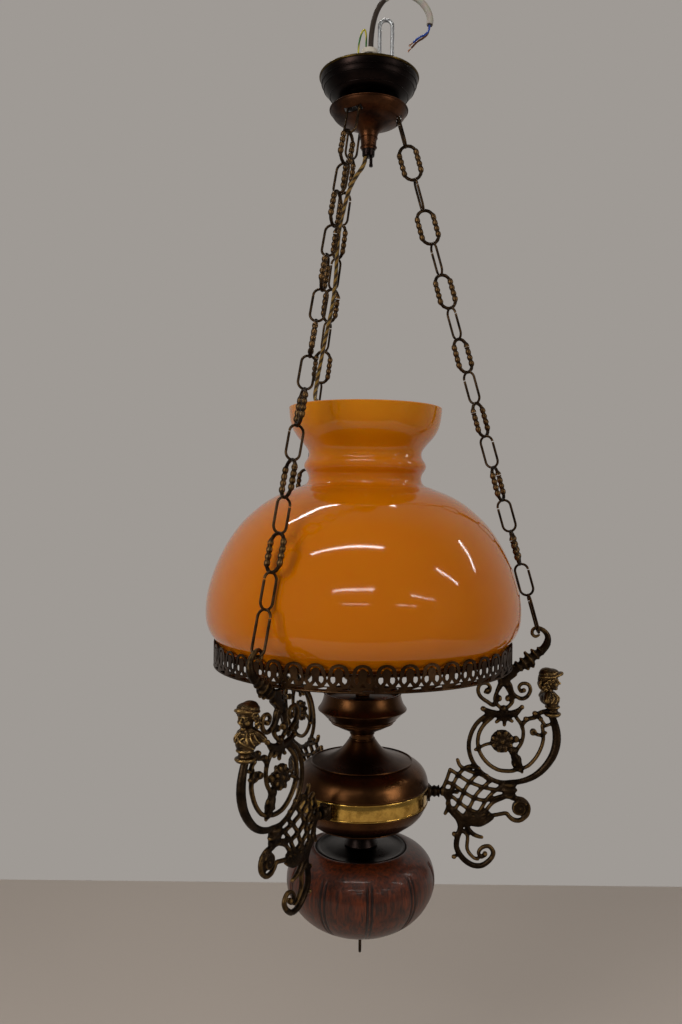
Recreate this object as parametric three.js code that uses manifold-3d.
// A hanging lamp in the style of a sanctuary oil lamp, rewired for a bulb. A steel bail carries a canopy bowl
// and a trumpet-shaped chain cone. Three chains run down to three cast openwork arms, which hold a gallery
// ring with an opal glass shade, a burner vase, a spun font and a turned wooden ball with a pull ring.
// Millimetres, +Z up. The origin is where a hook bears inside the bail. The lamp's own axis stands a little
// to one side of it, and the heights below are measured on that axis from the font's datum plane.
import * as THREE from "three";
import { mergeVertices } from "three/addons/utils/BufferGeometryUtils.js";
import Module from "manifold-3d";

const wasm = await Module();
wasm.setup();

// Where the lamp hangs
const bailHeight = 941; // inner top of the bail above the datum plane
const bailOffset = 19.8; // bail's centre line beside the lamp's axis
const armCount = 3;
const gap = 0.3; // left between neighbouring solids

// Bail, bracket and tube
const bailWire = 2.3; // radii, unless a name says otherwise
const bailHalfWidth = 7.6;
const bailPivotHeight = 868;
const lugHalfWidth = 4;
const tubeOuter = 7.8;
const tubeInner = 6.3;
const tubeTop = 907;
const tubeBottom = 787;
const plateTop = 842.6;

// Chain cone and chains
const coneSheet = 1.6;
const slotRadius = 37.4; // the chain slots' distance from the axis
const slotHeight = 818.5;
const eyeRadius = 214.5; // the arm hooks' distance from the axis
const eyeHeight = 200.4;
const plainWire = 1.5;
const ornateWire = 2.5;
const linkWidth = 19;
const ornateWidth = 25;
const plainPitch = 42; // a link's length between the centres of its end bends
const ornatePitch = 45.8;
const hookPitch = 51;
const pairCount = 7; // ornate links on one chain
const linkOverlap = 0.5; // fused links bite this far into each other

// Arms, font and shade
const studHeight = 6.5;
const rodRadius = 4.9;
const boreRadius = 5.3;
const galleryRadius = 180;
const galleryBottom = 163.4;
const galleryTop = 193.4;
const ledgeHeight = 181.2;
const screwRadius = 174.2; // the gallery screws' distance from the axis
const beltRadius = 79.2;
const beltBottom = -5.2;
const beltTop = 15.3;
const glassWall = 3.5;
const bulbRadius = 30;
const ringWire = 1.8;
const ringRadius = 9.5;

const finish = (color, roughness, metalness) => new THREE.MeshStandardMaterial({ color, roughness, metalness });
const steel = finish(0xb9bcc0, 0.35, 1);
const darkBronze = finish(0x2b221d, 0.5, 1);
const brownBrass = finish(0x6b4a2e, 0.4, 1);
const polishedBrass = finish(0xc9a03e, 0.2, 1);
const copperBronze = finish(0x54382a, 0.5, 1);
const castBronze = finish(0x3b2f24, 0.55, 1);
const opalGlass = finish(0xe07a10, 0.12, 0);
const lacqueredWood = finish(0x4a1e10, 0.25, 0);
const darkSheath = finish(0x2a211c, 0.6, 0);
const greySleeve = finish(0xb5b0a6, 0.7, 0);
const blueCore = finish(0x27408f, 0.5, 0);
const brownCore = finish(0x6a4023, 0.5, 0);
const earthCore = finish(0x4d8a35, 0.5, 0);
const goldCord = finish(0x6f5a2c, 0.5, 0);
const ceramic = finish(0xe8e2d4, 0.4, 0);
const clearGlass = finish(0xf2f2ea, 0.1, 0);

// --- shapes ---

function toSolid(geometry) {
  const bare = geometry.index ? geometry.toNonIndexed() : geometry.clone();
  bare.deleteAttribute("normal");
  bare.deleteAttribute("uv");
  const merged = mergeVertices(bare, 1e-3);
  return new wasm.Manifold(
    new wasm.Mesh({
      numProp: 3,
      vertProperties: merged.attributes.position.array,
      triVerts: new Uint32Array(merged.index.array),
    }),
  );
}

function toGeometry(solid) {
  const { vertProperties, triVerts } = solid.getMesh();
  const geometry = new THREE.BufferGeometry();
  geometry.setAttribute("position", new THREE.BufferAttribute(vertProperties, 3));
  geometry.setIndex(new THREE.BufferAttribute(triVerts, 1));
  geometry.computeVertexNormals();
  return geometry;
}

function join(geometries) {
  return toGeometry(geometries.map(toSolid).reduce((sum, solid) => sum.add(solid)));
}

function cut(geometry, tools) {
  return toGeometry(tools.map(toSolid).reduce((left, tool) => left.subtract(tool), toSolid(geometry)));
}

// A body of revolution about Z. The profile is a list of [radius, height], outside first and going up.
function turned(profile, segments = 24) {
  const points = profile.map(([radius, height]) => new THREE.Vector2(radius, height));
  return new THREE.LatheGeometry(points, segments).rotateX(Math.PI / 2);
}

const closed = (profile) => [...profile, profile[0]];

// The profile of a thin wall: the outside going up, then the same line set inwards by the wall and going down.
function wall(outside, thickness) {
  const inside = outside.map(([radius, height], i) => {
    const before = outside[Math.max(i - 1, 0)];
    const after = outside[Math.min(i + 1, outside.length - 1)];
    const along = new THREE.Vector2(after[0] - before[0], after[1] - before[1]).normalize();
    return [radius - along.y * thickness, height + along.x * thickness];
  });
  return closed([...outside, ...inside.reverse()]);
}

// A solid bar of round section with its axis along Z.
function bar(radius, from, to, segments = 12) {
  return turned([[0, from], [radius, from], [radius, to], [0, to]], segments);
}

function sleeve(outer, inner, from, to, segments = 16) {
  return turned(closed([[inner, from], [outer, from], [outer, to], [inner, to]]), segments);
}

function box(width, depth, height, x, y, z) {
  return new THREE.BoxGeometry(width, depth, height).translate(x, y, z);
}

function ball(radius, x, y, z, scale = [1, 1, 1], detail = 6) {
  return new THREE.SphereGeometry(radius, detail, detail / 2).scale(...scale).translate(x, y, z);
}

// A round wire along a smooth curve through the given points.
function wire(points, radius, steps, sides = 8) {
  const curve = new THREE.CatmullRomCurve3(points.map((p) => new THREE.Vector3(...p)), false, "centripetal");
  const corners = Array.from({ length: sides }, (_, i) => ((i + 0.5) * 2 * Math.PI) / sides);
  const section = new THREE.Shape(
    corners.map((angle) => new THREE.Vector2(radius * Math.cos(angle), radius * Math.sin(angle))),
  );
  return new THREE.ExtrudeGeometry(section, { steps, extrudePath: curve });
}

// A rod of an arm: its points are [distance from the lamp's axis, height], in the arm's own plane.
function rod(points, radius, step = 25) {
  const flat = points.map(([u, height]) => [u, 0, height]);
  const run = flat.slice(1).reduce((sum, p, i) => sum + Math.hypot(p[0] - flat[i][0], p[2] - flat[i][2]), 0);
  return wire(flat, radius * 1.2, Math.max(2, Math.round(run / step)), 4);
}

// A chain link: a ring of wire stretched along Z, in the XZ plane.
function link(pitch, width, radius, sides = 4) {
  const bend = width / 2 - radius;
  const ring = new THREE.TorusGeometry(bend, radius, sides, 8).rotateX(Math.PI / 2);
  const position = ring.getAttribute("position");
  for (let i = 0; i < position.count; i++) {
    const height = position.getZ(i);
    const side = Math.abs(height) < 0.01 ? 0 : Math.sign(height);
    position.setZ(i, height + side * (pitch / 2 - bend));
  }
  return ring;
}

// --- assembly ---

const lamp = new THREE.Group();
lamp.position.set(-bailOffset, 0, -bailHeight);

function add(name, geometry, material, parent = lamp) {
  const mesh = new THREE.Mesh(geometry, material);
  mesh.name = name;
  parent.add(mesh);
}

// Places on the arms' three sides: the right-hand one lies along +X, and the front one is towards -Y.
const sides = [
  { side: "right", angle: 0 },
  { side: "rear", angle: (2 * Math.PI) / armCount },
  { side: "front", angle: (-2 * Math.PI) / armCount },
];

function sideGroup(angle) {
  const group = new THREE.Group();
  group.rotation.z = angle;
  lamp.add(group);
  return group;
}

// --- suspension ---

// A bail of round wire: two legs, a round top, and ends turned in that pivot in the bracket's lug.
function bailShape() {
  const top = bailHeight + bailWire - bailHalfWidth;
  const bend = 2.5;
  const leg = (side) => [
    [side * 1.2, 0, bailPivotHeight],
    [side * (bailHalfWidth - bend), 0, bailPivotHeight],
    [side * (bailHalfWidth - 0.3 * bend), 0, bailPivotHeight + 0.3 * bend],
    [side * bailHalfWidth, 0, bailPivotHeight + bend],
    [side * bailHalfWidth, 0, bailPivotHeight + 25],
    [side * bailHalfWidth, 0, top],
    [side * bailHalfWidth * Math.SQRT1_2, 0, top + bailHalfWidth * Math.SQRT1_2],
  ];
  const crown = [0, 0, top + bailHalfWidth];
  return wire([...leg(-1), crown, ...leg(1).reverse()], bailWire, 44, 6).translate(bailOffset, 0, 0);
}

// A flat plate clamped on the tube, with an upright lug for the bail.
function bracketShape() {
  const thickness = 3;
  const plate = box(46, 22, thickness, 9, 0, plateTop - thickness / 2 + 4);
  const lugTop = bailPivotHeight + 6;
  const lugHeight = lugTop - plateTop;
  const lug = box(2 * lugHalfWidth, 11, lugHeight, bailOffset, 0, plateTop + lugHeight / 2);
  const pinHole = bar(bailWire + gap, -10, 10, 10).rotateY(Math.PI / 2);
  const tubeHole = bar(tubeOuter + gap, plateTop - 10, plateTop + 10);
  return cut(join([plate, lug]), [pinHole.translate(bailOffset, 0, bailPivotHeight), tubeHole]);
}

function bowlShape() {
  const outside = [
    [tubeOuter + gap, 838.7], [25, 839], [36, 842], [45.5, 848], [52.5, 855.5], [56, 861.5], [59, 869.5],
    [59.2, 873.4],
  ];
  return turned(wall(outside, 1.5));
}

// A nut whose six-sided bore clears a shaft of the given radius.
function hexNut(acrossCorners, shaft, from, to) {
  return sleeve(acrossCorners, (shaft + gap) / Math.cos(Math.PI / 6), from, to, 6);
}

function coneShape() {
  const outside = [
    [tubeOuter + gap + coneSheet, 787.5], [10.5, 799], [13.5, 808], [18, 812.5], [27, 817], [36, 820.5],
    [42, 825], [47.2, 834],
  ];
  const slots = sides.map(({ angle }) =>
    box(6.8, 24, 18, 0, 0, 0)
      .rotateY(-chainLean)
      .translate(slotRadius, 0, slotHeight)
      .rotateZ(angle),
  );
  return cut(turned(wall(outside, coneSheet)), slots);
}

function gripShape() {
  const shape = turned([[0, 778], [7.6, 778], [7.9, 786.4], [0, 786.4]], 16);
  const cordHole = bar(3.6, 770, 790, 10).translate(-3.5, 0, 0);
  const screwHole = bar(2.6, 770, 790, 8).translate(3.2, 0, 0);
  return cut(shape, [cordHole, screwHole]);
}

// --- chains ---

const chainLean = Math.atan2(eyeRadius - slotRadius, slotHeight - eyeHeight);
const chainTwist = THREE.MathUtils.degToRad(75);

// Each link's bottom bend above the arm's eye, measured along the chain, and how far it is turned about the
// chain from the tangential plane. The chain twists most of a quarter turn on its way down.
function chainLinks() {
  const links = [];
  let bottom = 0;
  const last = 2 * pairCount + 1;
  for (let i = last; i >= 0; i--) {
    const ornate = i % 2 === 1 && i < last;
    const pitch = i === last ? hookPitch : ornate ? ornatePitch : plainPitch;
    const twist = i === last ? Math.PI / 2 : chainTwist * THREE.MathUtils.clamp((i - 1.5) / (last - 3.5), 0, 1);
    links.push({ ornate, pitch, bottom, turn: (i * Math.PI) / 2 + twist });
    const loose = i === last || i === 1;
    const reach = i === last ? 2 * plainWire : plainWire + ornateWire;
    bottom += pitch - reach + (loose ? -gap : linkOverlap);
  }
  return links;
}

function placeOnChain(geometry, along, turn) {
  return geometry
    .rotateZ(Math.PI / 2 + turn)
    .translate(0, 0, along)
    .rotateY(-chainLean)
    .translate(eyeRadius, 0, eyeHeight);
}

function addChain(side, angle) {
  const group = sideGroup(angle);
  const shaped = chainLinks().map(({ ornate, pitch, bottom, turn }) =>
    placeOnChain(
      link(pitch, ornate ? ornateWidth : linkWidth, ornate ? ornateWire : plainWire),
      bottom + pitch / 2,
      turn,
    ),
  );
  const top = chainLinks().at(-1);
  const pinAlong = top.bottom + top.pitch - 2 * plainWire - gap;
  const pin = bar(plainWire, -5.8, 5.8, 8).rotateX(Math.PI / 2);
  add(`chain_${side}_hook_link`, shaped[0], brownBrass, group);
  add(`chain_${side}_links`, join(shaped.slice(1, -1)), brownBrass, group);
  add(`chain_${side}_top_link`, shaped.at(-1), brownBrass, group);
  add(`chain_${side}_toggle_pin`, placeOnChain(pin, pinAlong, top.turn), steel, group);
}

// --- arms ---

function armShape() {
  const rods = [
    // hook, its neck and the stem down to the crossbar
    rod([[217, 194], [210, 194.5], [207.3, 200], [210, 205.8], [217, 207.5], [224, 203], [227, 195], [224, 185],
      [219, 177], [212, 170], [205, 165], [198, 158.5]], 3.4, 8),
    rod([[207, 167], [193, 155], [184, 145]], 7.5),
    rod([[186, 148], [180, 142], [174, 132], [173, 117], [173, 102]], 3.6),
    // pair of spirals
    rod([[178, 143], [167, 139], [161, 130], [155, 120], [146, 120], [142, 129], [147, 136], [155, 132]], 3),
    rod([[180, 143], [185, 130], [193, 120], [202, 120], [206, 128], [201, 136], [193, 132]], 3),
    rod([[147, 120], [155, 111], [163, 105]], 3),
    rod([[201, 120], [194, 111], [186, 105]], 3),
    // crossbar and its leaf
    rod([[148, 106], [160, 103], [173, 101], [188, 103], [197, 107]], 4.6),
    // great ring with the thick sweep up to the bust
    rod([[160, 100], [144, 90], [135, 76], [132, 61], [134, 45], [143, 30], [157, 21], [172, 16.5], [189, 17]], 3.3),
    rod([[186, 17], [204, 23], [218, 33], [229, 47], [235, 64], [238, 80], [236, 94], [231, 106]], 4.6),
    // inner ring
    rod([[164, 97], [148, 84], [143, 69], [145, 53], [153, 40], [165, 32], [180, 27], [193, 29], [204, 35]], 3),
    rod([[182, 100], [194, 91], [198, 78], [196, 64], [190, 48], [187, 30]], 3),
    // bracket under the bust and the inner rail
    rod([[193, 88], [202, 93], [209, 100], [219, 105], [230, 105]], 3.4),
    rod([[224, 78], [219, 60], [212, 47], [202, 34]], 2.8),
    // flower stem
    rod([[140, 56], [150, 60], [160, 64]], 2.8),
    // lattice
    rod([[133, 41], [121, 37], [116, 24], [117, 10], [112, -1], [104, -9]], 2.5),
    rod([[143, 30], [129, 27], [123, 16], [127, 1], [122, -11], [113, -17]], 2.5),
    rod([[153, 21], [139, 17], [132, 7], [136, -6], [147, -17], [157, -24]], 2.5),
    rod([[116, 42], [112, 29], [120, 12], [128, -4], [139, -15], [149, -23]], 2.5),
    rod([[99, 7], [104, 18], [111, 21], [119, 12], [123, -1], [122, -16]], 2.6),
    rod([[140, 4], [153, 9], [167, 10], [178, 8]], 2.6),
    rod([[99, 7], [103, -2], [106, -9], [105, -16], [103, -22]], 3.6),
    rod([[173, 3], [161, -7], [153, -16], [147, -24]], 2.6),
    // ribbed collar, volute and bottom scroll
    rod([[181, 18], [181, 4], [181, -6]], 7.5),
    rod([[181, -2], [190, -5], [201, -10], [204, -21], [198, -30], [188, -33], [180, -28], [168, -26], [152, -28]], 4),
    rod([[105, -6], [113, -17], [120, -30], [119, -43], [116, -56], [116, -71], [124, -84], [136, -89], [149, -88],
      [159, -80], [159, -71], [151, -67]], 3.6),
    rod([[114, -19], [128, -28], [143, -31], [158, -27]], 6),
  ];
  const blobs = [
    ball(14, 171, 0, 67, [1, 0.32, 1], 8),
    ball(10, 190, 0, 44, [1, 0.45, 1]),
    ball(11, 231, 0, 141, [0.95, 0.85, 1.15], 8),
    ball(9, 231, 0, 148, [1.2, 0.95, 0.55], 8),
    ball(12, 231, 0, 118, [1, 0.8, 1.1], 8),
    ball(9, 191, 0, -20, [1.1, 0.5, 1.1]),
    ball(8, 150, 0, -78, [1.1, 0.5, 1.1]),
    // lug that carries the gallery ring
    box(18, 11, 10, 180, 0, galleryBottom - gap - 5),
    box(8, 8, 14, 184, 0, 150),
  ];
  const screwHole = bar(1.6, galleryBottom - 9, galleryBottom + 1, 8).translate(screwRadius, 0, 0);
  return cut(join([...rods, ...blobs]), [screwHole]);
}

// A ribbed stud with a shank that goes through the belt into the font.
function studShape() {
  const ribs = [
    [0, 71], [3, 71], [3, 80.9], [7.5, 80.9], [7.5, 84], [5.6, 86], [7, 89], [5.6, 92], [7.4, 94.9], [0, 94.9],
  ];
  return turned(ribs, 10).rotateY(Math.PI / 2).translate(0, 0, studHeight);
}

function addArm(side, angle) {
  const group = sideGroup(angle);
  add(`arm_${side}`, armShape(), castBronze, group);
  add(`arm_stud_${side}`, studShape(), castBronze, group);
  const screw = turned(
    [[0, galleryBottom - 7], [1.3, galleryBottom - 7], [1.3, galleryBottom + 1.9], [3, galleryBottom + 1.9],
      [2.6, galleryBottom + 3.9], [0, galleryBottom + 3.9]],
    10,
  );
  add(`gallery_screw_${side}`, screw.translate(screwRadius, 0, 0), brownBrass, group);
}

// --- shade, gallery and light ---

// The shade is one piece of glass, made here as three rings that meet: its bowl, its shoulder and its crown.
function shadeShape(from, to) {
  const outside = [
    [168, 181.6], [178, 194], [189, 210], [191.5, 230], [190, 247], [181.5, 278], [169, 306], [153.5, 330],
    [121, 358.5], [88, 374.5], [72, 379.5], [68.5, 387], [74, 399], [73.2, 406.5], [68.5, 417], [76, 429.5],
    [88.5, 446], [93.2, 473],
  ];
  const around = wall(outside, glassWall).slice(0, -1);
  const inside = around.slice(outside.length).reverse();
  return turned(closed([...around.slice(from, to + 1), ...inside.slice(from, to + 1).reverse()]), 30);
}

// A straight band with a foot turned in at the bottom and a ledge that the shade rests on.
function galleryShape() {
  const inner = galleryRadius - 1.2;
  const profile = closed([
    [169, galleryBottom], [galleryRadius, galleryBottom], [galleryRadius, galleryTop], [inner, galleryTop],
    [inner, ledgeHeight], [165, ledgeHeight], [165, ledgeHeight - 1.2], [inner, ledgeHeight - 1.2],
    [inner, galleryBottom + 1.6], [169, galleryBottom + 1.6],
  ]);
  const holes = sides.map(({ angle }) =>
    bar(1.6, galleryBottom - 2, galleryBottom + 3, 8).translate(screwRadius, 0, 0).rotateZ(angle),
  );
  return cut(turned(profile, 32), holes);
}

function vaseShape() {
  const outside = [
    [14.2, 71.3], [14.2, 77], [21, 81.8], [37, 90], [47.5, 101], [54, 106.5], [48.5, 117], [46.5, 127],
  ];
  const inside = [[44.5, 127], [46.5, 117], [50, 107], [40, 97.5], [30, 90], [boreRadius, 88]];
  return turned(closed([[boreRadius, 71.3], ...outside, ...inside]));
}

function holderParts() {
  add("vase_cover", sleeve(44, boreRadius, 121.4, 122.6, 24), brownBrass);
  add("holder_locknut", hexNut(10, rodRadius, 122.9, 127), brownBrass);
  const base = [
    [boreRadius, 127.4], [12, 127.4], [19.2, 131], [19.2, 148], [17.6, 148], [17.6, 132.5], [boreRadius, 129.4],
  ];
  add("holder_base", turned(closed(base), 20), brownBrass);
  add("holder_insert", sleeve(17, 13.8, 134, 176), ceramic);
  add("holder_shell", sleeve(19.6, 18, 148.4, 178), brownBrass);
}

function bulbParts() {
  const cap = [[0, 140], [5, 140], [13.2, 149], [13.2, 178.4], [0, 178.4]];
  add("bulb_cap", turned(cap, 16), steel);
  const low = 178.8;
  const middle = low + 48;
  const neck = [[0, low], [12.8, low], [14.5, low + 12], [21, low + 26], [28.3, middle - 10]];
  const crown = [0, 22.5, 45, 67.5].map((degrees) => {
    const angle = THREE.MathUtils.degToRad(degrees);
    return [bulbRadius * Math.cos(angle), middle + bulbRadius * Math.sin(angle)];
  });
  add("bulb_glass", turned([...neck, ...crown, [0, middle + bulbRadius]], 20), clearGlass);
}

// --- font and wooden ball ---

const studHoles = (radius) =>
  sides.map(({ angle }) =>
    bar(radius, 70, 90, 8).rotateY(Math.PI / 2).translate(0, 0, studHeight).rotateZ(angle),
  );

function fontUpperShape() {
  const shell = [
    [beltRadius, beltBottom + gap], [beltRadius, beltTop + gap], [80.8, beltTop + 1.2], [79, 27], [68, 40],
    [50, 46.5], [34, 52], [24, 60], [14.2, 71],
  ];
  return cut(turned(wall(shell, 1.4)), studHoles(3.4));
}

function bandShape() {
  return cut(sleeve(80.5, beltRadius + gap, beltBottom, beltTop, 24), studHoles(3.4));
}

function fontLowerShape() {
  const shell = [
    [boreRadius + 1.4, -32.4], [54, -32], [64, -27], [72, -20], [77.5, -11.5], [79.4, beltBottom - gap],
  ];
  return turned(wall(shell, 1.4));
}

function ballShape() {
  const outside = [
    [boreRadius, -160], [30, -158], [50, -152], [68, -141], [83, -124], [90.2, -104], [88.5, -85], [80, -70],
    [66, -60.5], [55.5, -60.5], [55.5, -66], [boreRadius, -66],
  ];
  return turned(closed(outside), 30);
}

function fontParts() {
  add("burner_vase", vaseShape(), brownBrass);
  add("font_upper", fontUpperShape(), brownBrass);
  add("brass_band", bandShape(), polishedBrass);
  add("font_lower", fontLowerShape(), brownBrass);
  const neck = [[boreRadius, -58.4], [20, -58.4], [17.5, -47], [20.5, -32.8], [boreRadius, -32.8]];
  add("font_neck", turned(closed(neck), 20), darkBronze);
  const dish = [
    [boreRadius, -65.7], [54.5, -65.7], [54, -60.5], [51.5, -60.5], [49, -62.5], [20, -59], [boreRadius, -58.8],
  ];
  add("wood_collar", turned(closed(dish)), darkBronze);
  add("wood_ball", ballShape(), lacqueredWood);
  add("tie_rod", bar(rodRadius, -164, 129), steel);
}

// A cap under the ball with an eye across Y, and the ring that hangs in the eye.
function pullParts() {
  const capBottom = -168;
  const cap = turned(
    [[0, capBottom], [5, capBottom], [8, -165.5], [9, -160.5], [0, -160.5]],
    16,
  );
  const eyeCentre = -171.5;
  const eye = new THREE.TorusGeometry(4.4, 1.5, 5, 10).rotateX(Math.PI / 2).translate(0, 0, eyeCentre);
  const finial = cut(join([cap, eye]), [bar(boreRadius, -164.4, -150)]);
  add("finial_eye", finial, castBronze);
  const ring = new THREE.TorusGeometry(ringRadius, ringWire, 6, 16).rotateY(Math.PI / 2);
  add("pull_ring", ring.translate(0, 0, eyeCentre - ringRadius + 0.4), castBronze);
}

// --- cords ---

// The supply flex stands up out of the tube, bends over above the bail and ends in two bared cores.
function feedParts() {
  const rise = [
    [1.5, 0, 868], [1.5, 0, 890], [1.5, 0, 907], [2, -2, 922], [4.5, -6, 938], [9.5, -10, 951], [17, -13, 960.5],
  ];
  add("feed_cord", wire(rise, 3.2, 14), darkSheath);
  const arch = [
    [18.3, -13.6, 962], [26, -14.5, 965.8], [38, -15, 967], [50, -15, 964.5], [61, -15, 957.5], [69, -15, 947],
    [72, -15, 937], [71.5, -15, 929],
  ];
  add("feed_sleeve", wire(arch, 3.9, 16), greySleeve);
  const blue = [[71.3, -16.5, 928.6], [70.5, -16.6, 923], [66, -17, 917.5], [59, -17, 914], [52, -17, 908]];
  add("feed_core_blue", wire(blue, 1.2, 8), blueCore);
  const brown = [[71.3, -13.5, 928.6], [69.5, -13.4, 921], [64, -13, 915.5], [57, -13, 911], [50.5, -13, 904]];
  add("feed_core_brown", wire(brown, 1.2, 8), brownCore);
}

// The earth wire rises from its screw beside the tube, turns over and drops back into the tube.
function earthParts() {
  const plate = plateTop + 4;
  add("earth_screw", turned([[0, plate + gap], [2.6, plate + gap], [2.2, plate + 2.2], [0, plate + 2.2]], 10)
    .translate(-12, -8.6, 0), steel);
  const loop = [
    [-12, -8.6, plate + 3.7], [-12.8, -7.8, 860], [-13.6, -6, 880], [-13.6, -4, 900], [-12.5, -3, 915],
    [-9.5, -2, 927], [-6.2, -1.2, 931], [-4.3, -0.6, 925], [-4.1, 0, 914], [-4.1, 0, 900],
  ];
  add("earth_wire", wire(loop, 1.1, 22), earthCore);
}

// The lamp flex leaves the grip, hangs beside the rear chain and drops through the shade's mouth to the holder.
function lampCord() {
  const route = [
    [-3.5, 0, 785.5], [-3.6, 0.1, 777], [-6.5, 2, 767.5], [-15, 8, 757], [-23.5, 15, 742], [-30, 25, 722],
    [-35.5, 35, 700], [-38.5, 46, 670], [-40.5, 55, 641], [-45, 62, 608], [-52, 67, 575], [-59, 71, 540],
    [-64.5, 73, 510], [-66, 71, 494], [-61, 64.5, 486.5], [-54, 57, 478], [-46, 48, 458], [-38, 40, 425],
    [-36, 37, 390], [-38, 38, 340], [-41, 41, 290], [-42, 42, 240], [-38, 38.5, 190], [-31, 31.5, 158],
    [-22, 22.5, 142], [-14.8, 15, 139.5],
  ];
  add("lamp_cord", wire(route, 2.6, 46), goldCord);
}

// --- the lamp ---

add("suspension_bail", bailShape(), steel);
add("hanger_bracket", bracketShape(), steel);
add("canopy_bowl", bowlShape(), darkBronze);
add("hanger_tube", sleeve(tubeOuter, tubeInner, tubeBottom, tubeTop - 0.5), steel);
add("tube_end_ring", sleeve(9.4, tubeOuter + gap, tubeTop - 6, tubeTop), steel);
add("canopy_locknut", hexNut(12.4, tubeOuter, plateTop + 4.3, plateTop + 10), steel);
add("chain_cone", coneShape(), copperBronze);
add("cord_grip", gripShape(), darkBronze);
add("cord_grip_screw", bar(2.3, 766, 784, 10).translate(3.2, 0, 0), darkBronze);
for (const { side, angle } of sides) addChain(side, angle);
for (const { side, angle } of sides) addArm(side, angle);
add("gallery_ring", galleryShape(), darkBronze);
add("glass_shade_bowl", shadeShape(0, 5), opalGlass);
add("glass_shade_shoulder", shadeShape(5, 9), opalGlass);
add("glass_shade_crown", shadeShape(9, 17), opalGlass);
holderParts();
bulbParts();
fontParts();
pullParts();
feedParts();
earthParts();
lampCord();

const part = new THREE.Group();
part.add(lamp);

export default part;
